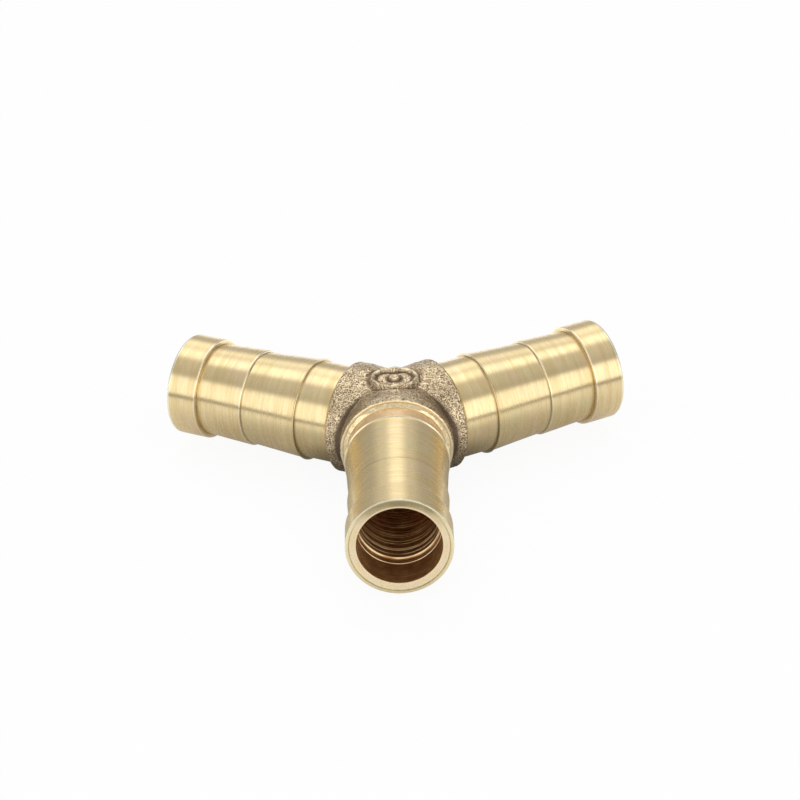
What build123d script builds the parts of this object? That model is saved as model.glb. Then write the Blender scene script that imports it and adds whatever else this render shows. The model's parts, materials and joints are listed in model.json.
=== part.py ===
from build123d import *
import os
from math import cos, radians, sin

# Three-way hose-barb connector: a sand-cast hub with three turned hose tails brazed into it.
# Millimetres. The origin is where the three leg axes meet, +Z is up through the cast mark,
# and the front leg points along -Y. The side legs leave in the same plane, mirrored about x = 0.
# A station is a distance from the origin along a leg.

# Legs
FRONT_AZIMUTH = -90
SIDE_LEG_ANGLE = 117
LEG_AZIMUTHS = {
    "front": FRONT_AZIMUTH,
    "left": FRONT_AZIMUTH - SIDE_LEG_ANGLE,
    "right": FRONT_AZIMUTH + SIDE_LEG_ANGLE,
}

# Hub casting: three bosses that swell from its core to their ends
CORE_RADIUS = 8.4
BOSS_RADIUS = 8.82
SWELL_STATION = 6.0
BOSS_END = {"front": 7.75, "left": 8.2, "right": 8.2}
BOSS_EDGE_RADIUS = {"front": 0.25, "left": 0.5, "right": 0.5}
SOCKET_FLOOR = 5.4

# Cast mark: a low oval ring with a round pip, on top of the hub
MARK_HALF_WIDTH = 4.0
MARK_HALF_DEPTH = 3.4
MARK_RIB = 1.0
MARK_PIP_RADIUS = 0.9
MARK_HEIGHT = 0.5
MARK_ROOT = 1.1
MARK_EDGE_RADIUS = 0.2

# Hose tails: neck, two tapering barbs, tip collar
NECK_RADIUS = 7.7
INNER_BARB_STATION = {"front": 11.5, "left": 14.0, "right": 14.0}
INNER_BARB_CREST = 8.15
INNER_BARB_TOE = 7.35
OUTER_BARB_STATION = 23.7
OUTER_BARB_CREST = 7.68
OUTER_BARB_TOE = 7.28
COLLAR_STATION = 31.7
COLLAR_RADIUS = 8.0
COLLAR_EDGE_RADIUS = 0.3
TIP_STATION = 36.8

# Passage through each leg: a slightly wider mouth, then the plain bore
BORE_RADIUS = 6.1
MOUTH_RADIUS = 6.34
MOUTH_DEPTH = 7.1
MOUTH_LIP = 0.08

# Braze: a film in the socket gap and a concave fillet at its mouth, which is fuller on the front leg
BRAZE_GAP = 0.1
BRAZE_FILLET_WIDTH = {"front": 0.85, "left": 0.55, "right": 0.55}
BRAZE_FILLET_HEIGHT = {"front": 0.75, "left": 0.4, "right": 0.4}
BRAZE_HOLLOW = {"front": 0.45, "left": 0.38, "right": 0.38}

SOCKET_RADIUS = NECK_RADIUS + BRAZE_GAP


def leg_plane(azimuth):
    """Plane whose normal runs out along a leg, with its own X axis up."""
    outward = (cos(radians(azimuth)), sin(radians(azimuth)), 0)
    return Plane(origin=(0, 0, 0), x_dir=(0, 0, 1), z_dir=outward)


def turned(*outline):
    """Solid of revolution about Z, from the lines that close its half section of (radius, station) points."""
    return revolve(Plane.XZ * make_face(outline), axis=Axis.Z)


def boss(end, edge_radius):
    """One of the hub's three bosses, from the core to its flat face, with a rounded outer edge."""
    round_start = end - edge_radius
    face_radius = BOSS_RADIUS - edge_radius
    sides = Polyline(
        (face_radius, end),
        (0, end),
        (0, 0),
        (CORE_RADIUS, 0),
        (BOSS_RADIUS, SWELL_STATION),
        (BOSS_RADIUS, round_start),
    )
    edge = RadiusArc((BOSS_RADIUS, round_start), (face_radius, end), -edge_radius)
    return turned(sides, edge)


def cast_mark():
    """Oval ring and pip that stand up from the top of the hub, rooted in its wall."""
    root = Plane.XY.offset(CORE_RADIUS - MARK_ROOT)
    ring = Ellipse(MARK_HALF_WIDTH, MARK_HALF_DEPTH)
    ring -= Ellipse(MARK_HALF_WIDTH - MARK_RIB, MARK_HALF_DEPTH - MARK_RIB)
    mark = extrude(root * (ring + Circle(MARK_PIP_RADIUS)), MARK_ROOT + MARK_HEIGHT)
    return fillet(mark.edges().group_by(Axis.Z)[-1], MARK_EDGE_RADIUS)


def hub_passage(end):
    """Bore and socket cut into the hub along one leg."""
    outline = Polyline(
        (0, 0),
        (BORE_RADIUS, 0),
        (BORE_RADIUS, SOCKET_FLOOR),
        (SOCKET_RADIUS, SOCKET_FLOOR),
        (SOCKET_RADIUS, end),
        (0, end),
        close=True,
    )
    return turned(outline)


def hub_casting():
    """Three bosses that meet in one body, hollow right through."""
    casting = cast_mark()
    for side, azimuth in LEG_AZIMUTHS.items():
        casting += leg_plane(azimuth) * boss(BOSS_END[side], BOSS_EDGE_RADIUS[side])
    for side, azimuth in LEG_AZIMUTHS.items():
        casting -= leg_plane(azimuth) * hub_passage(BOSS_END[side])
    return casting


def hose_tail(inner_barb_station):
    """Turned tail, from its foot on the socket floor to its tip."""
    edge_start = TIP_STATION - COLLAR_EDGE_RADIUS
    tip_face_radius = COLLAR_RADIUS - COLLAR_EDGE_RADIUS
    mouth_floor = TIP_STATION - MOUTH_DEPTH
    body = Polyline(
        (tip_face_radius, TIP_STATION),
        (MOUTH_RADIUS + MOUTH_LIP, TIP_STATION),
        (MOUTH_RADIUS, TIP_STATION - MOUTH_LIP),
        (MOUTH_RADIUS, mouth_floor),
        (BORE_RADIUS, mouth_floor),
        (BORE_RADIUS, SOCKET_FLOOR),
        (NECK_RADIUS, SOCKET_FLOOR),
        (NECK_RADIUS, inner_barb_station),
        (INNER_BARB_CREST, inner_barb_station),
        (INNER_BARB_TOE, OUTER_BARB_STATION),
        (OUTER_BARB_CREST, OUTER_BARB_STATION),
        (OUTER_BARB_TOE, COLLAR_STATION),
        (COLLAR_RADIUS, COLLAR_STATION),
        (COLLAR_RADIUS, edge_start),
    )
    edge = RadiusArc((COLLAR_RADIUS, edge_start), (tip_face_radius, TIP_STATION), -COLLAR_EDGE_RADIUS)
    return turned(body, edge)


def braze_ring(boss_end, fillet_width, fillet_height, hollow):
    """Film of filler round the tail's foot, with the fillet that it leaves on the boss face."""
    fillet_radius = NECK_RADIUS + fillet_width
    fillet_top = boss_end + fillet_height
    surface_middle = (NECK_RADIUS + hollow * fillet_width, boss_end + hollow * fillet_height)
    film = Polyline(
        (NECK_RADIUS, fillet_top),
        (NECK_RADIUS, SOCKET_FLOOR),
        (SOCKET_RADIUS, SOCKET_FLOOR),
        (SOCKET_RADIUS, boss_end),
        (fillet_radius, boss_end),
    )
    surface = ThreePointArc((fillet_radius, boss_end), surface_middle, (NECK_RADIUS, fillet_top))
    return turned(film, surface)


def write_node(name, solid):
    """One STEP file per node, named after it."""
    solid.label = name
    export_step(solid, f"parts/{name}.step")


os.makedirs("parts", exist_ok=True)
write_node("hub_casting", hub_casting())
for side, azimuth in LEG_AZIMUTHS.items():
    write_node(f"hose_tail_{side}", leg_plane(azimuth) * hose_tail(INNER_BARB_STATION[side]))
    braze = braze_ring(BOSS_END[side], BRAZE_FILLET_WIDTH[side], BRAZE_FILLET_HEIGHT[side], BRAZE_HOLLOW[side])
    write_node(f"braze_ring_{side}", leg_plane(azimuth) * braze)
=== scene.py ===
import json
import math

import bmesh
import bpy
import numpy as np
from mathutils import Matrix, Vector


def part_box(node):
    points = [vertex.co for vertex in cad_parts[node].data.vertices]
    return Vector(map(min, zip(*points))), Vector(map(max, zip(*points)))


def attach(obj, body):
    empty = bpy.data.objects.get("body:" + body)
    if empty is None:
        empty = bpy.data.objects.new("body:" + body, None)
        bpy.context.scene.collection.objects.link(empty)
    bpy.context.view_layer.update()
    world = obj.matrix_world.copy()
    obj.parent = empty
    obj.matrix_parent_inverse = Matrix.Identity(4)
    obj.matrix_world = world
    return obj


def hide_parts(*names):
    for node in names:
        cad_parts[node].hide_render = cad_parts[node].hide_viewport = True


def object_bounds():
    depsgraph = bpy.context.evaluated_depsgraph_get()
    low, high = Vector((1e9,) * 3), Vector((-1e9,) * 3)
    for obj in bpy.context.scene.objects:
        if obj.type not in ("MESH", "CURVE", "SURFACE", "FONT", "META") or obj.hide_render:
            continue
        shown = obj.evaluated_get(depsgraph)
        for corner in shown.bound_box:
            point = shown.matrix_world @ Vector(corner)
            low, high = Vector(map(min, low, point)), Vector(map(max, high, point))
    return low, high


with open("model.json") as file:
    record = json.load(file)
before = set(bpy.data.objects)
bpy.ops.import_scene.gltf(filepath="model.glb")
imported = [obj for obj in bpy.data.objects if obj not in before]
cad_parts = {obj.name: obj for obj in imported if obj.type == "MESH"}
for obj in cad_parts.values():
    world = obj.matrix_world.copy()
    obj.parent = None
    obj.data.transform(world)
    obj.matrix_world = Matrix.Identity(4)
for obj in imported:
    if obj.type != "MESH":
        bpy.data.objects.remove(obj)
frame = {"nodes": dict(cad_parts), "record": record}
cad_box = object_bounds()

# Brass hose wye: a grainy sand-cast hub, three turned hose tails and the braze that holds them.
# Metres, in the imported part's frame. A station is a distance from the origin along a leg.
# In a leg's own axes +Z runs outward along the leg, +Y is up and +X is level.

MM = 0.001
LEG_NAMES = ("front", "right", "left")

# Hose tails (the collar, bore, tip and boss sizes are read from the frame)
NECK_RADIUS = 7.7 * MM
INNER_BARB_STATION = {"front": 11.5 * MM, "left": 14.0 * MM, "right": 14.0 * MM}
INNER_BARB_CREST = 8.15 * MM
INNER_BARB_TOE = 7.35 * MM
HEAT_REACH = {"front": 0.4 * MM, "left": 5.0 * MM, "right": 5.0 * MM}
HEAT_SHARE = {"front": 1.0, "left": 0.25, "right": 0.35}
OUTER_BARB_STATION = 23.7 * MM
OUTER_BARB_CREST = 7.68 * MM
OUTER_BARB_TOE = 7.28 * MM
COLLAR_STATION = 31.7 * MM
CREST_BEVEL = 0.20 * MM
CREST_LAND = 0.06 * MM
BARB_EDGE = 0.15 * MM
ROOT_FILLET = 0.10 * MM
MOUTH_RADIUS = 6.34 * MM
MOUTH_DEPTH = 7.1 * MM
MOUTH_LIP = 0.08 * MM
TIP_EDGE = {"front": 0.14 * MM, "right": 0.32 * MM, "left": 0.32 * MM}
TIP_RIM_RADIUS = 7.5 * MM
TIP_RIM_STEP = 0.16 * MM
TIP_DISH = 0.36 * MM
SHARP_EDGE = 0.02 * MM
TAIL_SEGMENTS = 144
COARSE_PITCH = 1.0 * MM
SKIN_PITCH = 0.12 * MM
MOUTH_PITCH = 0.17 * MM
BORE_PITCH = 0.30 * MM
RIDGE_PITCH = 1.05 * MM
RIDGE_HEIGHT = 0.036 * MM
RIDGE_EDGE = 0.035 * MM
MOUTH_CHAMFER = 0.15 * MM
STEP_LEAN = 0.6
BORING_STOP = 1.3 * MM
BORING_STEP = 0.07 * MM
FINE_GROOVE = 0.0008 * MM
BROAD_GROOVE = 0.0022 * MM
WANDER = 0.004 * MM
SKIN_INSET = 0.006 * MM

# Painted shade and painted highlights on the tails: the distances over which each kind fades
ROOT_SHADE_REACH = (0.06 * MM, 0.22 * MM)
STEP_SHADE_REACH = (0.6 * MM, 1.1 * MM)
CREST_HIGHLIGHT_REACH = (0.16 * MM, 0.34 * MM)
TOP_SHADE_EDGE = (0.15 * MM, 0.5 * MM)
GROOVE_REACH = (0.05 * MM, 0.15 * MM)
RIM_REACH = (0.06 * MM, 0.2 * MM)
CUT_REACH = (0.012 * MM, 0.028 * MM)
CUT_START = 12 * MM
CUT_FULL = 1 * MM

# Hub casting
CORE_RADIUS = 8.4 * MM
SWELL_STATION = 6.0 * MM
BOSS_EDGE = {"front": 0.25 * MM, "right": 0.5 * MM, "left": 0.5 * MM}
SOCKET_GAP = 0.1 * MM
CREASE_BLEND = 3.0 * MM
CREASE_SHADED = 0.16 * MM
EDGE_CAST_SHARE = 0.8
FACE_CAST_SHARE = 0.12
HUB_SEGMENTS = 384
HUB_SKIN_ROWS = 56
MARK_HALF_WIDTH = 3.5 * MM
MARK_HALF_DEPTH = 2.9 * MM
MARK_RIB = 0.5 * MM
MARK_PIP = 0.9 * MM
MARK_MOAT = 0.14 * MM
MARK_WOBBLE = (0.17 * MM, 0.08 * MM)
MARK_WEAR = 0.13 * MM
GRAIN_SIZE = 0.22 * MM
GRAIN_DEPTH = 0.14 * MM
LUMP_SIZE = 1.6 * MM
LUMP_DEPTH = 0.08 * MM

# Braze fillets
FILLET_WIDTH = {"front": 0.60 * MM, "right": 0.55 * MM, "left": 0.55 * MM}
FILLET_HEIGHT = {"front": 0.60 * MM, "right": 0.4 * MM, "left": 0.4 * MM}
FILLET_HOLLOW = {"front": 0.52, "right": 0.38, "left": 0.38}
FILLET_LUMPS = (0.09 * MM, 0.07 * MM)

# Camera
CAMERA_AZIMUTH = math.radians(0.347)
CAMERA_ELEVATION = math.radians(28.852)
CAMERA_ROLL = math.radians(-2.285)
CAMERA_DISTANCE = 494.07 * MM
CAMERA_AIM_RIGHT = 0.583 * MM
CAMERA_AIM_UP = 3.986 * MM
CAMERA_LENS = 142.36
SENSOR_WIDTH = 36.0

NOISE_CELLS = 64


# ---------------------------------------------------------------- what the frame says


def node_points(node):
    """All corner points of a CAD node, in the row frame."""
    mesh = frame["nodes"][node].data
    points = np.zeros(len(mesh.vertices) * 3)
    mesh.vertices.foreach_get("co", points)
    return points.reshape(-1, 3)


def mount(name):
    """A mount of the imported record."""
    return next(m for m in frame["record"]["mounts"] if m["name"] == name)


LEG_AXIS = {leg: np.array(mount(f"barb_{leg}")["axis"]) for leg in LEG_NAMES}
COLLAR_RADIUS = mount("barb_front")["dims"]["r_mm"] * MM
BORE_RADIUS = mount("passage_front")["dims"]["r_mm"] * MM
TIP_STATION = (node_points("hose_tail_front") @ LEG_AXIS["front"]).max()
SOCKET_FLOOR = (node_points("hose_tail_front") @ LEG_AXIS["front"]).min()
BOSS_END = {leg: (node_points("hub_casting") @ LEG_AXIS[leg]).max() for leg in LEG_NAMES}
BOSS_RADIUS = -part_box("hub_casting")[0].z
MARK_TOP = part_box("hub_casting")[1].z
SOCKET_RADIUS = NECK_RADIUS + SOCKET_GAP
MOUTH_FLOOR = TIP_STATION - MOUTH_DEPTH
BORING_STATION = MOUTH_FLOOR + BORING_STOP


def leg_matrix(leg):
    """Turns a leg's own axes into the row frame."""
    outward = Vector(LEG_AXIS[leg])
    up = Vector((0, 0, 1))
    level = up.cross(outward)
    return Matrix((level, up, outward)).transposed().to_4x4()


# ---------------------------------------------------------------- noise and mesh helpers


def value_noise(points, size, seed):
    """Smooth repeatable noise in -1..1 over an (n, k) array of points, with lumps of about size."""
    dimensions = points.shape[-1]
    table = np.random.default_rng(seed).uniform(-1, 1, (NOISE_CELLS,) * dimensions)
    scaled = points / size
    cell = np.floor(scaled).astype(int)
    share = scaled - cell
    share = share * share * (3 - 2 * share)
    total = np.zeros(points.shape[:-1])
    for corner in np.ndindex((2,) * dimensions):
        index = (cell + corner) % NOISE_CELLS
        weight = np.prod(np.where(corner, share, 1 - share), axis=-1)
        total += weight * table[tuple(np.moveaxis(index, -1, 0))]
    return total


def smooth_step(value, low, high):
    """0 below low, 1 above high and smooth between."""
    share = np.clip((value - low) / (high - low), 0, 1)
    return share * share * (3 - 2 * share)


def grid_faces(rows, columns, close_rows=False, start=0):
    """Quads of a grid of points stored row by row, closed along its columns."""
    above = np.arange(rows if close_rows else rows - 1)
    here = above[:, None] * columns + np.arange(columns)[None, :]
    beside = above[:, None] * columns + (np.arange(columns)[None, :] + 1) % columns
    below = ((above + 1) % rows)[:, None] * columns + np.arange(columns)[None, :]
    across = ((above + 1) % rows)[:, None] * columns + (np.arange(columns)[None, :] + 1) % columns
    return np.stack([here, beside, across, below], -1).reshape(-1, 4) + start


def new_piece(name, points, faces, materials, matrix=None, face_material=None):
    """A smooth-shaded mesh object with these materials."""
    mesh = bpy.data.meshes.new(name)
    mesh.from_pydata(points.tolist(), [], faces.tolist())
    for material in materials:
        mesh.materials.append(material)
    if face_material is not None:
        mesh.polygons.foreach_set("material_index", face_material.astype(np.int32))
    mesh.polygons.foreach_set("use_smooth", np.ones(len(faces), bool))
    mesh.validate()
    piece = bpy.data.objects.new(name, mesh)
    bpy.context.scene.collection.objects.link(piece)
    if matrix is not None:
        piece.matrix_world = matrix
    return piece


def paint(piece, name, values):
    """One number on each of a piece's points, for its material."""
    layer = piece.data.attributes.new(name, "FLOAT", "POINT")
    layer.data.foreach_set("value", values.astype(np.float32))


def section_points(corners):
    """Points round a closed half section of corners: radius, station, fillet, pitch of the next run."""
    count = len(corners)
    ends = []
    for i, (radius, station, fillet, _) in enumerate(corners):
        here = np.array((radius, station))
        before = np.array(corners[i - 1][:2]) - here
        after = np.array(corners[(i + 1) % count][:2]) - here
        before_unit = before / np.linalg.norm(before)
        after_unit = after / np.linalg.norm(after)
        half_turn = math.acos(np.clip(before_unit @ after_unit, -1, 1)) / 2
        reach = fillet / math.tan(half_turn)
        inward = (before_unit + after_unit) / np.linalg.norm(before_unit + after_unit)
        centre = here + inward * (fillet / math.sin(half_turn))
        ends.append((here + before_unit * reach, centre, here + after_unit * reach, fillet))
    points = []
    for i, (enter, centre, leave, fillet) in enumerate(ends):
        for share in (0, 1 / 3, 2 / 3):
            chord = enter + (leave - enter) * share - centre
            points.append(centre + chord / np.linalg.norm(chord) * fillet)
        target = ends[(i + 1) % count][0]
        steps = max(1, round(np.linalg.norm(target - leave) / corners[i][3]))
        for share in np.arange(steps) / steps:
            points.append(leave + (target - leave) * share)
    return np.array(points)


def section_normals(points):
    """Outward normals of a closed half section that runs out along its skin and back inside."""
    along = np.roll(points, -1, 0) - np.roll(points, 1, 0)
    along /= np.linalg.norm(along, axis=1)[:, None]
    return np.stack([along[:, 1], -along[:, 0]], -1)


def turn(section, push, segments):
    """Vertices and faces of a section turned round, with each point pushed along its normal."""
    normals = section_normals(section)
    angles = np.arange(segments) * math.tau / segments
    radius = section[:, :1] + normals[:, :1] * push
    station = section[:, 1:] + normals[:, 1:] * push
    points = np.stack([radius * np.cos(angles), radius * np.sin(angles), station], -1)
    return points.reshape(-1, 3), grid_faces(len(section), segments, close_rows=True)


# ---------------------------------------------------------------- shader helpers


def add(tree, kind, settings=None, **inputs):
    """A shader node with its settings, and its inputs either set or linked."""
    node = tree.nodes.new(kind)
    for key, value in (settings or {}).items():
        setattr(node, key, value)
    for key, value in inputs.items():
        name = key.replace("_", " ")
        socket = node.inputs[int(name[1:])] if name[1:].isdigit() else node.inputs[name]
        if isinstance(value, bpy.types.NodeSocket):
            tree.links.new(value, socket)
        else:
            socket.default_value = value
    return node


def maths(tree, operation, *values):
    """The result of one Math node."""
    numbered = {f"n{i}": value for i, value in enumerate(values)}
    return add(tree, "ShaderNodeMath", {"operation": operation}, **numbered).outputs[0]


def remap(tree, value, low, high, to_low, to_high):
    """value taken from low..high to to_low..to_high, smoothly and clamped."""
    settings = {"interpolation_type": "SMOOTHSTEP"}
    named = {"Value": value, "From_Min": low, "From_Max": high, "To_Min": to_low, "To_Max": to_high}
    return add(tree, "ShaderNodeMapRange", settings, **named).outputs[0]


def blend_colors(tree, factor, first, second):
    """Two colours mixed by factor."""
    node = add(tree, "ShaderNodeMix", {"data_type": "RGBA"})
    for index, value in ((0, factor), (6, first), (7, second)):
        if isinstance(value, bpy.types.NodeSocket):
            tree.links.new(value, node.inputs[index])
        else:
            node.inputs[index].default_value = value
    return node.outputs[2]


def stretched_noise(tree, coordinates, scale, detail=2.0, roughness=0.5):
    """Noise over the object's own axes, with one scale per axis in lumps per millimetre."""
    per_metre = tuple(s / MM for s in scale)
    multiply = {"operation": "MULTIPLY"}
    vector = add(tree, "ShaderNodeVectorMath", multiply, n0=coordinates, n1=per_metre).outputs[0]
    texture = {"Vector": vector, "Scale": 1.0, "Detail": detail, "Roughness": roughness}
    return add(tree, "ShaderNodeTexNoise", None, **texture).outputs["Fac"]


def new_material(name):
    """An empty node material and its tree, its shader and the object's own coordinates."""
    material = bpy.data.materials.new(name)
    material.use_nodes = True
    tree = material.node_tree
    tree.nodes.clear()
    shader = add(tree, "ShaderNodeBsdfPrincipled", None, Metallic=1.0)
    output = add(tree, "ShaderNodeOutputMaterial")
    tree.links.new(shader.outputs[0], output.inputs["Surface"])
    coordinates = add(tree, "ShaderNodeTexCoord").outputs["Object"]
    return material, tree, shader, coordinates


def link_surface(tree, shader, color, roughness, bump):
    """Links a surface's colour, roughness and bump to its shader."""
    tree.links.new(color, shader.inputs["Base Color"])
    tree.links.new(roughness, shader.inputs["Roughness"])
    tree.links.new(bump.outputs[0], shader.inputs["Normal"])


def leg_tangent(tree):
    """The leg's axis in world space, along which turned metal spreads its highlights."""
    settings = {"vector_type": "VECTOR", "convert_from": "OBJECT", "convert_to": "WORLD"}
    return add(tree, "ShaderNodeVectorTransform", settings, Vector=(0.0, 0.0, 1.0)).outputs[0]


def attribute(tree, name):
    """A number painted on the mesh's points."""
    return add(tree, "ShaderNodeAttribute", {"attribute_name": name}).outputs["Fac"]


# ---------------------------------------------------------------- materials


def turned_brass():
    """Satin turned brass: fine rings round the leg, faint stains, painted shade at the steps and
    painted highlights on the crests.
    """
    material, tree, shader, coordinates = new_material("turned_brass_skin")
    fine = stretched_noise(tree, coordinates, (0.10, 0.10, 7.0), 3.0, 0.6)
    broad = stretched_noise(tree, coordinates, (0.12, 0.12, 1.1), 2.0, 0.5)
    brushed = stretched_noise(tree, coordinates, (0.9, 0.9, 11.0), 2.0, 0.6)
    stain = stretched_noise(tree, coordinates, (0.22, 0.22, 0.3), 3.0, 0.6)
    greenish = stretched_noise(tree, coordinates, (0.17, 0.17, 0.25), 2.0, 0.5)
    heat, painted_shade = attribute(tree, "heat"), attribute(tree, "painted_shade")
    grooves = maths(tree, "MULTIPLY_ADD", fine, 0.35, maths(tree, "MULTIPLY", brushed, 0.25))
    streak = maths(tree, "MULTIPLY_ADD", broad, 0.4, grooves)
    pale, deep = (0.92, 0.745, 0.435, 1), (0.80, 0.62, 0.315, 1)
    rosy, olive = (0.86, 0.65, 0.42, 1), (0.80, 0.685, 0.38, 1)
    # The darkest colour here is painted shade and the palest is a painted highlight
    tint, shade_color, painted_highlight = (0.62, 0.425, 0.26, 1), (0.30, 0.21, 0.11, 1), (1.0, 0.90, 0.66, 1)
    rings = blend_colors(tree, remap(tree, streak, 0.38, 0.62, 0.0, 1.0), deep, pale)
    stained = blend_colors(tree, remap(tree, stain, 0.5, 0.72, 0.0, 0.7), rings, rosy)
    toned = blend_colors(tree, remap(tree, greenish, 0.52, 0.72, 0.0, 0.6), stained, olive)
    heated = blend_colors(tree, heat, toned, tint)
    # Painted shade, darkest in the roots and behind the front tail's steps
    with_shade = blend_colors(tree, painted_shade, heated, shade_color)
    # Painted highlight along the crests
    color = blend_colors(tree, attribute(tree, "wear_and_highlight"), with_shade, painted_highlight)
    roughness = remap(tree, streak, 0.35, 0.65, 0.31, 0.23)
    bump = add(tree, "ShaderNodeBump", None, Strength=0.4, Distance=0.006 * MM, Height=grooves)
    link_surface(tree, shader, color, roughness, bump)
    tree.links.new(leg_tangent(tree), shader.inputs["Tangent"])
    shader.inputs["Anisotropic"].default_value = 0.83
    return material


def neck_brass():
    """Dull pinkish brass of the front tail's neck, mottled by the heat of brazing."""
    material, tree, shader, coordinates = new_material("neck_brass")
    blotch = stretched_noise(tree, coordinates, (0.9, 0.9, 0.6), 3.0, 0.6)
    dull, pale = (0.76, 0.55, 0.335, 1), (0.86, 0.66, 0.415, 1)
    color = blend_colors(tree, remap(tree, blotch, 0.38, 0.62, 0.0, 1.0), dull, pale)
    bump = add(tree, "ShaderNodeBump", None, Strength=0.4, Distance=0.02 * MM, Height=blotch)
    link_surface(tree, shader, color, remap(tree, blotch, 0.35, 0.65, 0.46, 0.36), bump)
    return material


def faced_brass():
    """Bright faced tip with fine tool marks round it, painted shade on its top and in its groove, and
    painted highlights on its rims.
    """
    material, tree, shader, coordinates = new_material("faced_brass")
    multiply, length = {"operation": "MULTIPLY"}, {"operation": "LENGTH"}
    across = add(tree, "ShaderNodeVectorMath", multiply, n0=coordinates, n1=(1.0, 1.0, 0.0)).outputs[0]
    reach = add(tree, "ShaderNodeVectorMath", length, n0=across).outputs["Value"]
    round_marks = add(tree, "ShaderNodeCombineXYZ", None, X=reach)
    marks = stretched_noise(tree, round_marks.outputs[0], (6.0, 1.0, 1.0), 3.0, 0.6)
    patch = stretched_noise(tree, coordinates, (0.3, 0.3, 0.3), 3.0, 0.6)
    nicks = stretched_noise(tree, coordinates, (2.2, 2.2, 2.2), 3.0, 0.65)
    pale, deep = (1.0, 0.85, 0.56, 1), (0.86, 0.69, 0.41, 1)
    rosy, yellow = (0.95, 0.79, 0.56, 1), (0.92, 0.80, 0.46, 1)
    ringed = blend_colors(tree, remap(tree, marks, 0.4, 0.62, 0.0, 1.0), deep, pale)
    blushed = blend_colors(tree, remap(tree, patch, 0.42, 0.62, 0.0, 0.9), ringed, rosy)
    outside = remap(tree, reach, TIP_RIM_RADIUS - 0.1 * MM, TIP_RIM_RADIUS, 0.0, 0.7)
    stained = blend_colors(tree, outside, blushed, yellow)
    # Painted shade on the top of the tip face and in its groove
    darkened = blend_colors(tree, attribute(tree, "painted_shade"), stained, (0.36, 0.29, 0.15, 1))
    # Painted highlight along the tip's rims
    color = blend_colors(tree, attribute(tree, "wear_and_highlight"), darkened, (1.0, 0.93, 0.70, 1))
    height = maths(tree, "MULTIPLY_ADD", marks, 0.6, maths(tree, "MULTIPLY", nicks, 0.4))
    bump = add(tree, "ShaderNodeBump", None, Strength=0.7, Distance=0.03 * MM, Height=height)
    link_surface(tree, shader, color, remap(tree, nicks, 0.35, 0.65, 0.26, 0.38), bump)
    return material


def bore_brass():
    """Tarnished red-brown brass of the passages, with drill rings and painted highlights on the steps
    near the mouth.
    """
    material, tree, shader, coordinates = new_material("bore_brass")
    rings = stretched_noise(tree, coordinates, (0.08, 0.08, 5.0), 3.0, 0.6)
    blotch = stretched_noise(tree, coordinates, (0.5, 0.5, 0.5), 3.0, 0.6)
    dark, warm, step_highlight = (0.43, 0.20, 0.07, 1), (0.82, 0.50, 0.215, 1), (1.0, 0.80, 0.46, 1)
    mixed = maths(tree, "MULTIPLY_ADD", rings, 0.5, maths(tree, "MULTIPLY", blotch, 0.5))
    tarnished = blend_colors(tree, remap(tree, mixed, 0.38, 0.72, 0.0, 1.0), dark, warm)
    # Painted highlight on the bore's steps
    color = blend_colors(tree, attribute(tree, "wear_and_highlight"), tarnished, step_highlight)
    bump = add(tree, "ShaderNodeBump", None, Strength=0.7, Distance=0.03 * MM, Height=rings)
    shader.inputs["Metallic"].default_value = 0.75
    link_surface(tree, shader, color, remap(tree, mixed, 0.3, 0.7, 0.44, 0.28), bump)
    return material


def cast_brass():
    """Sand-cast skin: brown in its pits, painted shade in its creases, pale grain tops that are partly
    painted glints, and bright faced ends.
    """
    material, tree, shader, coordinates = new_material("cast_brass_skin")
    grain = attribute(tree, "grain")
    faced = attribute(tree, "faced")
    crease_shade = attribute(tree, "crease_shade")
    fine = stretched_noise(tree, coordinates, (5.5, 5.5, 5.5), 2.0, 0.6)
    patch = stretched_noise(tree, coordinates, (0.45, 0.45, 0.45), 2.0, 0.5)
    specks = remap(tree, fine, 0.36, 0.64, 0.15, 0.85)
    height = maths(tree, "MULTIPLY_ADD", grain, 0.5, maths(tree, "MULTIPLY", specks, 0.5))
    ramp = add(tree, "ShaderNodeValToRGB", None, Fac=height)
    stops = ramp.color_ramp.elements
    stops[0].position, stops[0].color = 0.34, (0.17, 0.09, 0.052, 1)
    # The palest colour, on the highest grains, is partly a painted glint
    stops[1].position, stops[1].color = 0.63, (1.0, 0.86, 0.57, 1)
    middle = stops.new(0.53)
    middle.color = (0.49, 0.33, 0.20, 1)
    dull, shaded, bright = (0.36, 0.26, 0.155, 1), (0.15, 0.10, 0.065, 1), (0.95, 0.79, 0.50, 1)
    darkened = blend_colors(tree, remap(tree, patch, 0.4, 0.7, 0.0, 0.4), ramp.outputs[0], dull)
    # Painted shade in the creases and round the mark
    creased = blend_colors(tree, maths(tree, "MULTIPLY", crease_shade, 0.95), darkened, shaded)
    color = blend_colors(tree, faced, creased, bright)
    rough = remap(tree, height, 0.35, 0.65, 0.50, 0.20)
    roughness = add(tree, "ShaderNodeMix", None, n0=faced, n2=rough, n3=0.30).outputs[0]
    depth = maths(tree, "MULTIPLY_ADD", faced, -0.85, 1.0)
    bump = add(tree, "ShaderNodeBump", None, Distance=0.08 * MM, Height=fine, Strength=depth)
    link_surface(tree, shader, color, roughness, bump)
    return material


def braze_brass():
    """Bright filler metal, slightly pitted."""
    material, tree, shader, coordinates = new_material("braze_brass")
    pits = stretched_noise(tree, coordinates, (3.0, 3.0, 3.0), 3.0, 0.6)
    deep, pale = (0.84, 0.64, 0.36, 1), (1.0, 0.85, 0.54, 1)
    color = blend_colors(tree, remap(tree, pits, 0.35, 0.6, 0.0, 1.0), deep, pale)
    bump = add(tree, "ShaderNodeBump", None, Strength=0.5, Distance=0.04 * MM, Height=pits)
    link_surface(tree, shader, color, remap(tree, pits, 0.3, 0.7, 0.36, 0.22), bump)
    return material


# ---------------------------------------------------------------- pieces


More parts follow.
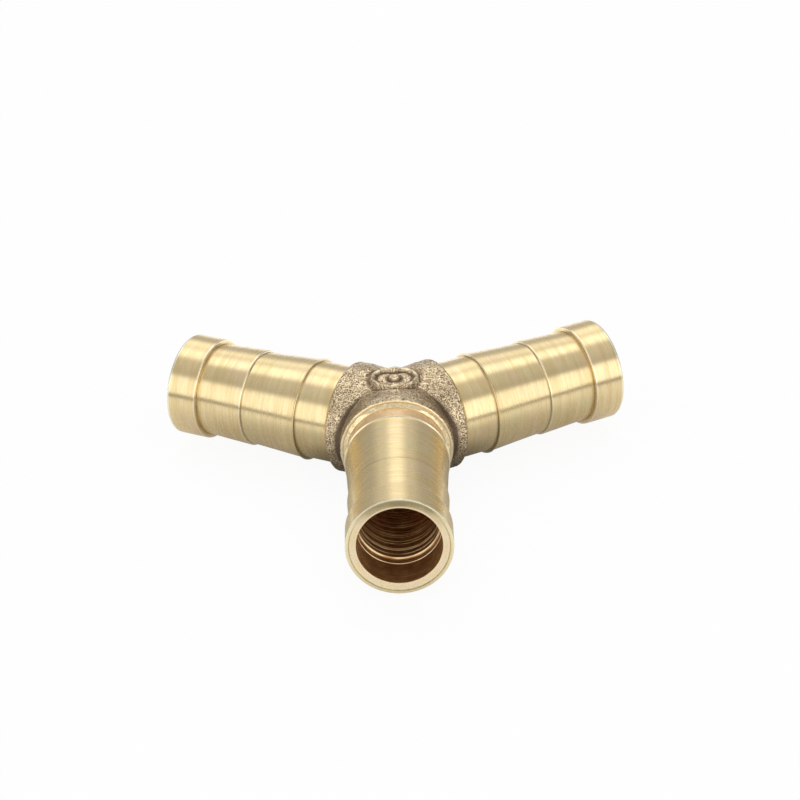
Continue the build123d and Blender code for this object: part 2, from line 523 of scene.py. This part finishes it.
def bore_steps(seed):
    """Section corners of the fine uneven steps in the plain bore, from the mouth's floor inward."""
    corners = [
        (BORE_RADIUS + MOUTH_CHAMFER, MOUTH_FLOOR, RIDGE_EDGE / 4, MOUTH_CHAMFER),
        (BORE_RADIUS, MOUTH_FLOOR - STEP_LEAN * MOUTH_CHAMFER, RIDGE_EDGE / 4, BORE_PITCH),
    ]
    chance = np.random.default_rng(seed + 40)
    station = MOUTH_FLOOR - RIDGE_PITCH
    while station > SOCKET_FLOOR + RIDGE_PITCH:
        depth_share = (station - SOCKET_FLOOR) / (MOUTH_FLOOR - SOCKET_FLOOR)
        height = RIDGE_HEIGHT * chance.uniform(0.35, 1.0) * (0.4 + 0.6 * depth_share)
        corners.append((BORE_RADIUS + height, station, height / 4, height))
        corners.append((BORE_RADIUS, station - STEP_LEAN * height, height / 4, BORE_PITCH))
        station -= RIDGE_PITCH * chance.uniform(0.35, 1.4)
    return corners


def tail_section(leg, steps):
    """Corners of a tail's half section: out along its skin, over its tip and back along its passage."""
    barb = INNER_BARB_STATION[leg]
    bevel_station = barb + CREST_LAND
    rim_step = TIP_RIM_STEP / 2
    return [
        (NECK_RADIUS, SOCKET_FLOOR, SHARP_EDGE, COARSE_PITCH / 4),
        (NECK_RADIUS, barb, ROOT_FILLET, SKIN_PITCH),
        (INNER_BARB_CREST, barb, CREST_LAND / 2, CREST_LAND),
        (INNER_BARB_CREST, bevel_station, CREST_LAND / 4, CREST_LAND),
        (INNER_BARB_CREST - CREST_BEVEL, bevel_station + CREST_BEVEL, CREST_LAND / 2, SKIN_PITCH),
        (INNER_BARB_TOE, OUTER_BARB_STATION, ROOT_FILLET, SKIN_PITCH),
        (OUTER_BARB_CREST, OUTER_BARB_STATION, BARB_EDGE, SKIN_PITCH),
        (OUTER_BARB_TOE, COLLAR_STATION, ROOT_FILLET, SKIN_PITCH),
        (COLLAR_RADIUS, COLLAR_STATION, BARB_EDGE, SKIN_PITCH),
        (COLLAR_RADIUS, TIP_STATION, TIP_EDGE[leg], SKIN_PITCH),
        (TIP_RIM_RADIUS, TIP_STATION, SHARP_EDGE, rim_step),
        (TIP_RIM_RADIUS - rim_step, TIP_STATION - TIP_RIM_STEP, SHARP_EDGE, SKIN_PITCH),
        (MOUTH_RADIUS, TIP_STATION - TIP_DISH, MOUTH_LIP, MOUTH_PITCH),
        (MOUTH_RADIUS + BORING_STEP, BORING_STATION, RIDGE_EDGE / 4, BORING_STEP),
        (MOUTH_RADIUS, BORING_STATION - STEP_LEAN * BORING_STEP, RIDGE_EDGE / 4, MOUTH_PITCH),
        (MOUTH_RADIUS, MOUTH_FLOOR, RIDGE_EDGE, SKIN_PITCH),
        *steps,
        (BORE_RADIUS, SOCKET_FLOOR, SHARP_EDGE, COARSE_PITCH / 2),
    ]


def turning_marks(section, seed):
    """How far each point of a turned skin stands off its section: fine grooves and a slow wander."""
    radius, station = section[:, :1], section[:, 1:]
    travel = np.cumsum(np.linalg.norm(section - np.roll(section, 1, 0), axis=1))[:, None]
    grooves = FINE_GROOVE * value_noise(travel, 0.36 * MM, seed + 1)
    grooves += BROAD_GROOVE * value_noise(travel, 1.0 * MM, seed + 2)
    angles = (np.arange(TAIL_SEGMENTS) * math.tau / TAIL_SEGMENTS)[None, :]
    stretched = np.broadcast_to(station * 3, (len(section), TAIL_SEGMENTS))
    place = np.stack([radius * np.cos(angles), radius * np.sin(angles), stretched], -1)
    return grooves[:, None] + WANDER * value_noise(place, 4.0 * MM, seed + 3) - SKIN_INSET


def paint_tail(piece, points, leg, steps, in_passage, on_tip, seed):
    """Heat near the hub, painted shade in the roots, behind the front tail's steps and on the tip, and
    painted highlights on the crests (partly wear), rims and steps.
    """
    barb = INNER_BARB_STATION[leg]
    out = points[:, 2]
    reach = np.hypot(points[:, 0], points[:, 1])
    uneven = value_noise(points, 1.6 * MM, seed + 7) * 0.5 + 0.5
    outer = reach > NECK_RADIUS * 0.92

    cool = barb - HEAT_REACH[leg]
    heat = HEAT_SHARE[leg] * (1 - smooth_step(out + 0.8 * MM * uneven, cool, barb + 0.2 * MM))

    painted_shade, wear_and_highlight = np.zeros(len(points)), np.zeros(len(points))
    for station, foot, crest in (
        (barb, NECK_RADIUS, INNER_BARB_CREST),
        (OUTER_BARB_STATION, INNER_BARB_TOE, OUTER_BARB_CREST),
        (COLLAR_STATION, OUTER_BARB_TOE, COLLAR_RADIUS),
    ):
        from_root = np.hypot(out - station, reach - foot)
        # Painted shade in each root of the skin
        painted_shade = np.maximum(painted_shade, 1 - smooth_step(from_root, *ROOT_SHADE_REACH))
        # Painted shade behind each step of the front tail
        step_shade = 0.5 * (1 - smooth_step(from_root, *STEP_SHADE_REACH))
        painted_shade = np.maximum(painted_shade, step_shade * (leg == "front") * (out < station))
        from_crest = np.hypot(out - station, reach - crest)
        # Painted highlight along each crest, partly wear
        wear_and_highlight = np.maximum(wear_and_highlight, 1 - smooth_step(from_crest, *CREST_HIGHLIGHT_REACH))
    painted_shade = np.where(outer, painted_shade * (0.35 + 0.4 * uneven), 0)

    # Painted shade: the top of each tip face darker, standing in for a dark reflection
    top_shade = smooth_step(points[:, 1] + 2 * MM * uneven, 0.5 * COLLAR_RADIUS, COLLAR_RADIUS)
    top_shade *= smooth_step(reach, MOUTH_RADIUS + TOP_SHADE_EDGE[0], MOUTH_RADIUS + TOP_SHADE_EDGE[1])
    # Painted shade in the groove at the tip's rim
    from_groove = np.abs(reach - TIP_RIM_RADIUS + TIP_RIM_STEP / 4)
    groove = 1 - smooth_step(from_groove, *GROOVE_REACH)
    tip_shade = np.maximum(top_shade, groove * (0.15 + 0.35 * uneven))
    # Painted highlights along the tip's outer and inner rims
    near_rim = np.minimum(COLLAR_RADIUS - reach, np.abs(reach - MOUTH_RADIUS - 0.05 * MM))
    rim_highlight = 1 - smooth_step(near_rim, *RIM_REACH)

    # Painted highlights on the bore's steps, fading out deep inside
    cuts = [BORING_STATION, BORING_STATION - STEP_LEAN * BORING_STEP]
    cuts += [station for _, station, _, _ in steps]
    from_cut = np.abs(out[:, None] - np.array(cuts)[None, :]).min(1)
    cut_highlight = (1 - smooth_step(from_cut, *CUT_REACH)) * smooth_step(uneven, 0.0, 0.5)
    cut_highlight *= smooth_step(out, SOCKET_FLOOR + CUT_START, MOUTH_FLOOR - CUT_FULL)

    # Painted highlights: rims on the tip, crests on the skin
    painted_highlight = np.where(on_tip, rim_highlight, wear_and_highlight) * (0.6 + 0.4 * uneven)
    paint(piece, "heat", np.where(outer, heat, 0))
    # Painted shade on the skin and on the tip
    paint(piece, "painted_shade", np.where(on_tip, tip_shade, painted_shade))
    # Painted highlights on crests, rims and bore steps
    paint(piece, "wear_and_highlight", np.where(in_passage, cut_highlight, painted_highlight))


def hose_tail(leg, skin, neck, face, bore):
    """One turned tail: neck, two barbs, tip collar and the passage through it."""
    seed = LEG_NAMES.index(leg) * 10
    steps = bore_steps(seed)
    section = section_points(tail_section(leg, steps))
    radius, station = section.T
    points, faces = turn(section, turning_marks(section, seed), TAIL_SEGMENTS)

    face_rows = (station > TIP_STATION - TIP_DISH - MOUTH_LIP) & (radius > MOUTH_RADIUS)
    neck_rows = (station < INNER_BARB_STATION[leg] - SHARP_EDGE) & (leg == "front")
    in_passage = np.repeat(radius < MOUTH_RADIUS + BORING_STEP + SHARP_EDGE, TAIL_SEGMENTS)
    on_neck = np.repeat(neck_rows, TAIL_SEGMENTS)
    on_tip = np.repeat(face_rows, TAIL_SEGMENTS)
    chosen = [kind[faces].all(1) for kind in (in_passage, on_tip, on_neck)]
    face_material = np.select(chosen, [2, 1, 3], 0)
    materials = [skin, face, bore, neck]
    piece = new_piece(f"tail_{leg}", points, faces, materials, leg_matrix(leg), face_material)
    paint_tail(piece, points, leg, steps, in_passage, on_tip, seed)
    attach(piece, "root")
    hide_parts(f"hose_tail_{leg}")


def braze_ring(leg, material):
    """The filler: a thin layer in the socket gap and an uneven hollow fillet on the boss face."""
    end = BOSS_END[leg]
    width, height, share = FILLET_WIDTH[leg], FILLET_HEIGHT[leg], FILLET_HOLLOW[leg]
    top = np.array((NECK_RADIUS, end + height))
    foot = np.array((NECK_RADIUS + width, end))
    hollow = np.array((NECK_RADIUS + share * width, end + share * height))
    control = 2 * hollow - (top + foot) / 2
    shares = np.linspace(0, 1, 9)[:, None]
    surface = (1 - shares) ** 2 * foot + 2 * shares * (1 - shares) * control + shares**2 * top
    film_stations = np.linspace(end, SOCKET_FLOOR + SHARP_EDGE, 4)
    inner = [(NECK_RADIUS, station) for station in film_stations]
    outer = [(SOCKET_RADIUS, station) for station in film_stations[::-1]]
    section = np.array([*surface, *inner, *outer])
    segments = HUB_SEGMENTS // 2
    angles = np.arange(segments) * math.tau / segments
    visible = (section[:, 1] > end + 0.005 * MM)[:, None]
    where = np.stack([np.cos(angles) * SOCKET_RADIUS, np.sin(angles) * SOCKET_RADIUS], -1)
    seed = 50 + LEG_NAMES.index(leg)
    uneven = FILLET_LUMPS[0] * value_noise(where, 1.1 * MM, seed)
    uneven += FILLET_LUMPS[1] * value_noise(where, 0.4 * MM, seed + 5)
    bulge = np.sin(np.pi * np.clip((section[:, 1:] - end) / height, 0, 1))
    push = np.where(visible, uneven[None, :], 0) * bulge
    points, faces = turn(section, push, segments)
    piece = new_piece(f"braze_{leg}", points, faces, [material], leg_matrix(leg))
    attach(piece, "root")
    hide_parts(f"braze_ring_{leg}")


def boss_skin(station):
    """Radius of a boss's skin at a station."""
    return CORE_RADIUS + (BOSS_RADIUS - CORE_RADIUS) * np.clip(station / SWELL_STATION, 0, 1)


def bore_skin(station):
    """Radius of a passage at a station."""
    return np.full_like(station, BORE_RADIUS)


def boss_distances(points):
    """Distance from each of the three bosses' skins, one column per leg, and the skins' normals."""
    values, normals = [], []
    for leg in LEG_NAMES:
        station = np.maximum(points @ LEG_AXIS[leg], 0)
        away = points - station[:, None] * LEG_AXIS[leg]
        reach = np.linalg.norm(away, axis=1)
        values.append(reach - boss_skin(station))
        normals.append(away / reach[:, None])
    return np.stack(values, -1), np.stack(normals, 1)


def hub_distance(points):
    """Distance from the hub's skin with its creases filled, and how much they are filled."""
    values, normals = boss_distances(points)
    fill = np.zeros(len(points))
    for a, b in ((0, 1), (1, 2), (2, 0)):
        width = CREASE_BLEND * (1 - np.sum(normals[:, a] * normals[:, b], 1)) + 1e-9
        near = np.maximum(width - np.abs(values[:, a] - values[:, b]), 0)
        nearest = np.minimum(values[:, a], values[:, b]) <= values.min(1) + 1e-12
        fill += np.where(nearest, near**2 / width / 4, 0)
    return values.min(1) - fill, fill


def hub_normals(points):
    """Unit gradient of the hub's skin distance."""
    step = 1e-6
    gradient = np.stack(
        [
            hub_distance(points + step * axis)[0] - hub_distance(points - step * axis)[0]
            for axis in np.eye(3)
        ],
        -1,
    )
    return gradient / np.linalg.norm(gradient, axis=1)[:, None]


def round_leg(leg):
    """A leg's axis, the angles of a ring's points round it, and the unit directions out to them."""
    outward = LEG_AXIS[leg]
    level = np.cross((0, 0, 1), outward)
    angles = np.arange(HUB_SEGMENTS) * math.tau / HUB_SEGMENTS
    directions = np.cos(angles)[:, None] * level + np.sin(angles)[:, None] * np.array((0, 0, 1))
    return outward, level, angles, directions


def leg_rows(leg, radius_at, shares, end):
    """Rows of points on a leg's round skin, from where it meets its neighbours out to a station."""
    outward, level, angles, directions = round_leg(leg)
    bisector = np.zeros(HUB_SEGMENTS)
    for side in (1, -1):
        others = [LEG_AXIS[other] for other in LEG_NAMES if other != leg]
        other = max(others, key=lambda axis: side * (axis @ level))
        half_angle = math.acos(np.clip(outward @ other, -1, 1)) / 2
        bisector = np.where(side * np.cos(angles) > 0, 1 / math.tan(half_angle), bisector)
    meeting = np.zeros(HUB_SEGMENTS)
    for _ in range(12):
        meeting = radius_at(meeting) * np.abs(np.cos(angles)) * bisector
    station = meeting[None, :] + (end - meeting[None, :]) * np.asarray(shares)[:, None]
    return station[..., None] * outward + radius_at(station)[..., None] * directions


def ring_row(leg, radius, station):
    """One ring of points round a leg."""
    outward, _, _, directions = round_leg(leg)
    return station * outward + radius * directions


def raise_mark(points):
    """Lifts the mark out of the hub's top, and says how much each point is on it or beside it."""
    x, y, z = points.T
    oval = np.hypot(x / MARK_HALF_WIDTH, y / MARK_HALF_DEPTH)
    slope = np.hypot(x / MARK_HALF_WIDTH**2, y / MARK_HALF_DEPTH**2) / np.maximum(oval, 1e-9)
    from_ring = np.abs(oval - 1) / np.maximum(slope, 1e-9)
    from_pip = np.hypot(x, y) - MARK_PIP + MARK_RIB
    away = np.minimum(from_ring, np.maximum(from_pip, 0))
    flat = points[:, :2]
    wobble = MARK_WOBBLE[0] * value_noise(flat, 0.9 * MM, 71)
    wobble += MARK_WOBBLE[1] * value_noise(flat, 0.35 * MM, 73)
    cover = 1 - smooth_step(away + wobble, MARK_RIB * 0.5, MARK_RIB * 1.0)
    moat = smooth_step(away, MARK_RIB * 0.7, MARK_RIB * 1.1)
    moat *= 1 - smooth_step(away, MARK_RIB * 1.3, MARK_RIB * 2.4)
    wear_and_highlight = MARK_WEAR * (1 + value_noise(flat, 1.0 * MM, 72))
    lifted = points.copy()
    top = MARK_TOP - wear_and_highlight - 0.2 * away**2 / MARK_RIB
    above = z > 0
    lifted[:, 2] = np.where(above & (top > z), z + (top - z) * cover, z)
    lifted[:, 2] -= np.where(above, moat * MARK_MOAT, 0)
    return lifted, np.where(above, cover, 0), np.where(above, moat, 0)


def boss_rings(leg):
    """Radius and station of the rings past a boss's skin: rounded edge, face, socket and its floor."""
    end, edge = BOSS_END[leg], BOSS_EDGE[leg]
    round_start = end - edge
    rings = []
    for turned in np.radians((18, 36, 54, 72, 90)):
        radius = BOSS_RADIUS - edge * (1 - math.cos(turned))
        rings.append((radius, round_start + edge * math.sin(turned)))
    rings += [(radius, end) for radius in np.linspace(BOSS_RADIUS - edge, SOCKET_RADIUS, 5)[1:]]
    rings += [(SOCKET_RADIUS, station) for station in np.linspace(end, SOCKET_FLOOR, 4)[1:]]
    rings += [(radius, SOCKET_FLOOR) for radius in np.linspace(SOCKET_RADIUS, BORE_RADIUS, 3)[1:]]
    return rings


def hub_third(leg):
    """One boss's rows of points, from its cast skin round to its passage, and what each is painted."""
    edge, round_start = BOSS_EDGE[leg], BOSS_END[leg] - BOSS_EDGE[leg]
    shares = np.linspace(0, 1, HUB_SKIN_ROWS)
    skin = leg_rows(leg, boss_skin, shares, round_start).reshape(-1, 3)
    for _ in range(4):
        skin = skin - hub_distance(skin)[0][:, None] * hub_normals(skin)

    rings = boss_rings(leg)
    turned = np.concatenate([ring_row(leg, radius, station) for radius, station in rings])
    edge_core = np.tile(ring_row(leg, BOSS_RADIUS - edge, round_start), (len(rings), 1))
    from_core = turned - edge_core
    from_core /= np.linalg.norm(from_core, axis=1)[:, None] + 1e-12
    ring = np.repeat(np.arange(len(rings)), HUB_SEGMENTS)
    on_edge, on_face = ring < 4, (ring >= 4) & (ring < 9)

    outer = np.concatenate([skin, turned])
    ring_normals = np.where(on_edge[:, None], from_core, LEG_AXIS[leg])
    normals = np.concatenate([hub_normals(skin), ring_normals])
    ring_share = np.where(on_edge, EDGE_CAST_SHARE, np.where(on_face, FACE_CAST_SHARE, 0))
    cast_share = np.concatenate([np.ones(len(skin)), ring_share])
    grains = 0.6 * value_noise(outer, GRAIN_SIZE, 62) + 0.4 * value_noise(outer, GRAIN_SIZE * 0.55, 63)
    ridged = 1 - 1.6 * np.abs(value_noise(outer, GRAIN_SIZE * 1.4, 64))
    grain = np.clip(0.5 + 0.5 * (0.55 * grains + 0.45 * ridged), 0, 1)
    lump = value_noise(outer, LUMP_SIZE, 61)
    depth = GRAIN_DEPTH * (grain - 1) + LUMP_DEPTH * (lump - 1) / 2
    outer, cover, moat = raise_mark(outer)
    outer = outer + normals * (depth * cast_share * (1 - 0.75 * cover))[:, None]
    # The mark painted lighter and its moat darker: painted highlight and painted shade
    grain = grain + 0.25 * cover * (1 - grain) - 0.2 * moat

    ring_number = np.concatenate([np.full(len(skin), -3.0), ring])
    irregular = 0.25 * value_noise(outer, 0.5 * MM, 65) + 0.25 * value_noise(outer, 1.7 * MM, 66)
    # Painted highlight on rubbed spots of the mark, partly wear
    rubbed_and_highlit = cover * smooth_step(value_noise(outer, 0.8 * MM, 67), -0.1, 0.6)
    faced = np.maximum(smooth_step(ring_number + 3 * irregular, 1.8, 3.6), 0.8 * rubbed_and_highlit)
    # Painted shade in the creases between the bosses
    filled = np.clip(hub_distance(skin)[1] / CREASE_SHADED, 0, 1)
    inside_mark = np.hypot(outer[:, 0] / MARK_HALF_WIDTH, outer[:, 1] / MARK_HALF_DEPTH) < 1
    crease_shade = np.concatenate([filled, np.zeros(len(turned))])
    # Painted shade in the moat round the mark, darker inside it
    crease_shade = np.maximum(crease_shade, moat * np.where(inside_mark, 1.0, 0.45))

    inward = 1 - np.linspace(0, 1, 7)
    passage = leg_rows(leg, bore_skin, inward, SOCKET_FLOOR)[1:].reshape(-1, 3)
    painted = {"faced": (faced, 1.0), "crease_shade": (crease_shade, 0.0), "grain": (grain, 0.5)}
    for name, (values, inside) in painted.items():
        painted[name] = np.concatenate([values, np.full(len(passage), inside)])
    return np.concatenate([outer, passage]), painted


def hub(material):
    """The casting: grainy skin, three faced boss ends, sockets and the passage through it."""
    thirds = [hub_third(leg) for leg in LEG_NAMES]
    faces, start = [], 0
    for points, _ in thirds:
        faces.append(grid_faces(len(points) // HUB_SEGMENTS, HUB_SEGMENTS, start=start))
        start += len(points)
    every_point = np.concatenate([points for points, _ in thirds])
    piece = new_piece("hub", every_point, np.concatenate(faces), [material])
    for name in ("faced", "crease_shade", "grain"):
        paint(piece, name, np.concatenate([painted[name] for _, painted in thirds]))
    weld(piece)
    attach(piece, "root")
    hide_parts("hub_casting")


def weld(piece):
    """Joins the three legs' shared edges into one closed skin that faces outward."""
    shape = bmesh.new()
    shape.from_mesh(piece.data)
    bmesh.ops.remove_doubles(shape, verts=shape.verts, dist=0.004 * MM)
    bmesh.ops.dissolve_degenerate(shape, edges=shape.edges, dist=1e-8)
    bmesh.ops.recalc_face_normals(shape, faces=shape.faces)
    shape.to_mesh(piece.data)
    shape.free()


# ---------------------------------------------------------------- stage

ROOM_TONE = 0.45
TOP_TONE = 0.75
# Azimuth, elevation, half width, half height and edge softness in degrees, then what it adds
SOFT_BOXES = (
    (51, 57, 10, 14, 7, 1.15),
    (130, 55, 11, 16, 7, 1.10),
    (91, 44, 10, 14, 7, 1.15),
    (92, 12, 18, 14, 8, 0.12),
    (-135, 18, 42, 20, 5, 0.85),
    (-52, 18, 36, 20, 5, 1.05),
)
FLOOR_SIZE = 2.0
FLOOR_SEGMENTS = 96
SHADE_REACH = (0.022, 0.058)
SHADE_TONE = 0.6
CORE_SHADE_REACH = (0.012, 0.023)
CORE_SHADE_TONE = 0.35
TABLE_REACH = (0.095, 0.110)
BEYOND_TONE = 0.3
TABLE_GLOW = 0.35
BACK_REACH = (0.006, 0.036)
BACK_GLOW = 1.8
FLOOR_WHITENESS = 0.93


def softbox(tree, direction, azimuth, elevation, half_width, half_height, softness):
    """How much of a soft rectangular light lies in each direction, 0..1. Angles in degrees."""
    azimuth, elevation = math.radians(azimuth), math.radians(elevation)
    level = math.cos(elevation)
    centre = Vector((math.cos(azimuth) * level, math.sin(azimuth) * level, math.sin(elevation)))
    across = Vector((-math.sin(azimuth), math.cos(azimuth), 0))
    upward = centre.cross(across)
    dot = {"operation": "DOT_PRODUCT"}
    depth = add(tree, "ShaderNodeVectorMath", dot, n0=direction, n1=centre).outputs["Value"]
    covered = maths(tree, "GREATER_THAN", depth, 0.05)
    for axis, half in ((across, half_width), (upward, half_height)):
        offset = add(tree, "ShaderNodeVectorMath", dot, n0=direction, n1=axis).outputs["Value"]
        angle = maths(tree, "ABSOLUTE", maths(tree, "ARCTAN2", offset, depth))
        low, high = math.radians(half - softness), math.radians(half + softness)
        covered = maths(tree, "MULTIPLY", covered, remap(tree, angle, low, high, 1.0, 0.0))
    return covered


def studio():
    """A pale room. The metal sees four soft boxes behind and one at each side in front."""
    world = bpy.data.worlds.new("studio")
    bpy.context.scene.world = world
    world.use_nodes = True
    tree = world.node_tree
    tree.nodes.clear()
    direction = add(tree, "ShaderNodeTexCoord").outputs["Generated"]
    height = add(tree, "ShaderNodeSeparateXYZ", None, Vector=direction).outputs["Z"]
    room = remap(tree, height, 0.5, 1.0, ROOM_TONE, TOP_TONE)
    for light in SOFT_BOXES:
        room = maths(tree, "MULTIPLY_ADD", softbox(tree, direction, *light[:5]), light[5], room)
    seen = add(tree, "ShaderNodeLightPath").outputs["Is Camera Ray"]
    strength = add(tree, "ShaderNodeMix", None, n0=seen, n2=room, n3=1.0).outputs[0]
    background = add(tree, "ShaderNodeBackground", None, Color=(1, 1, 1, 1), Strength=strength)
    output = add(tree, "ShaderNodeOutputWorld")
    tree.links.new(background.outputs[0], output.inputs["Surface"])


def floor():
    """Plain pale floor. The metal sees it shaded close by, dim far off and light behind."""
    mesh = bpy.data.meshes.new("floor")
    angles = np.arange(FLOOR_SEGMENTS) * math.tau / FLOOR_SEGMENTS
    level = np.full(FLOOR_SEGMENTS, cad_box[0].z)
    rim = np.stack([np.cos(angles) * FLOOR_SIZE, np.sin(angles) * FLOOR_SIZE, level], -1)
    mesh.from_pydata(rim.tolist(), [], [list(range(FLOOR_SEGMENTS))])
    material = bpy.data.materials.new("floor_pale")
    material.use_nodes = True
    tree = material.node_tree
    tree.nodes.clear()
    place = add(tree, "ShaderNodeTexCoord").outputs["Object"]
    reach = add(tree, "ShaderNodeVectorMath", {"operation": "LENGTH"}, n0=place).outputs["Value"]
    across = add(tree, "ShaderNodeSeparateXYZ", None, Vector=place).outputs["Y"]
    behind = remap(tree, across, *BACK_REACH, 0.0, 1.0)
    around = remap(tree, reach, *SHADE_REACH, SHADE_TONE, 1.0)
    beneath = remap(tree, reach, *CORE_SHADE_REACH, CORE_SHADE_TONE, 1.0)
    near = maths(tree, "MULTIPLY", around, beneath)
    edge = remap(tree, reach, *TABLE_REACH, 1.0, BEYOND_TONE)
    front = maths(tree, "MULTIPLY", near, edge)
    tone = add(tree, "ShaderNodeMix", None, n0=behind, n2=front, n3=1.0).outputs[0]
    strength = maths(tree, "MULTIPLY", tone, remap(tree, behind, 0.0, 1.0, 1.0, BACK_GLOW))
    lit = add(tree, "ShaderNodeBsdfDiffuse", None, Color=tone)
    glow = add(tree, "ShaderNodeEmission", None, Color=(1, 1, 1, 1), Strength=strength)
    parts = {"n1": lit.outputs[0], "n2": glow.outputs[0]}
    matt = add(tree, "ShaderNodeMixShader", None, Fac=TABLE_GLOW, **parts)
    bright = add(tree, "ShaderNodeEmission", None, Color=(1, 1, 1, 1), Strength=1.0)
    seen = add(tree, "ShaderNodeLightPath").outputs["Is Camera Ray"]
    shade = add(tree, "ShaderNodeBsdfDiffuse", None, Color=(1, 1, 1, 1))
    parts = {"n1": shade.outputs[0], "n2": bright.outputs[0]}
    shown = add(tree, "ShaderNodeMixShader", None, Fac=FLOOR_WHITENESS, **parts)
    parts = {"n1": matt.outputs[0], "n2": shown.outputs[0]}
    mixed = add(tree, "ShaderNodeMixShader", None, Fac=seen, **parts)
    output = add(tree, "ShaderNodeOutputMaterial")
    tree.links.new(mixed.outputs[0], output.inputs["Surface"])
    mesh.materials.append(material)
    piece = bpy.data.objects.new("floor", mesh)
    bpy.context.scene.collection.objects.link(piece)


def camera():
    """The camera, turned about its own axis and aimed a little off the hub's centre."""
    back = Vector(
        (
            math.sin(CAMERA_AZIMUTH) * math.cos(CAMERA_ELEVATION),
            -math.cos(CAMERA_AZIMUTH) * math.cos(CAMERA_ELEVATION),
            math.sin(CAMERA_ELEVATION),
        )
    )
    rolled = (-back).to_track_quat("-Z", "Y").to_matrix() @ Matrix.Rotation(CAMERA_ROLL, 3, "Z")
    place = back * CAMERA_DISTANCE
    aim = rolled @ Vector((CAMERA_AIM_RIGHT, CAMERA_AIM_UP, 0))
    aimed = (-back).rotation_difference(aim - place).to_matrix() @ rolled
    data = bpy.data.cameras.new("camera")
    data.lens = CAMERA_LENS
    data.sensor_width = SENSOR_WIDTH
    data.clip_start, data.clip_end = 0.01, 10.0
    holder = bpy.data.objects.new("camera", data)
    bpy.context.scene.collection.objects.link(holder)
    holder.matrix_world = Matrix.Translation(place) @ aimed.to_4x4()
    bpy.context.scene.camera = holder


camera()
studio()
floor()
tail_materials = turned_brass(), neck_brass(), faced_brass(), bore_brass()
filler = braze_brass()
hub(cast_brass())
for leg in LEG_NAMES:
    hose_tail(leg, *tail_materials)
    braze_ring(leg, filler)
bpy.context.scene.view_settings.view_transform = "Standard"
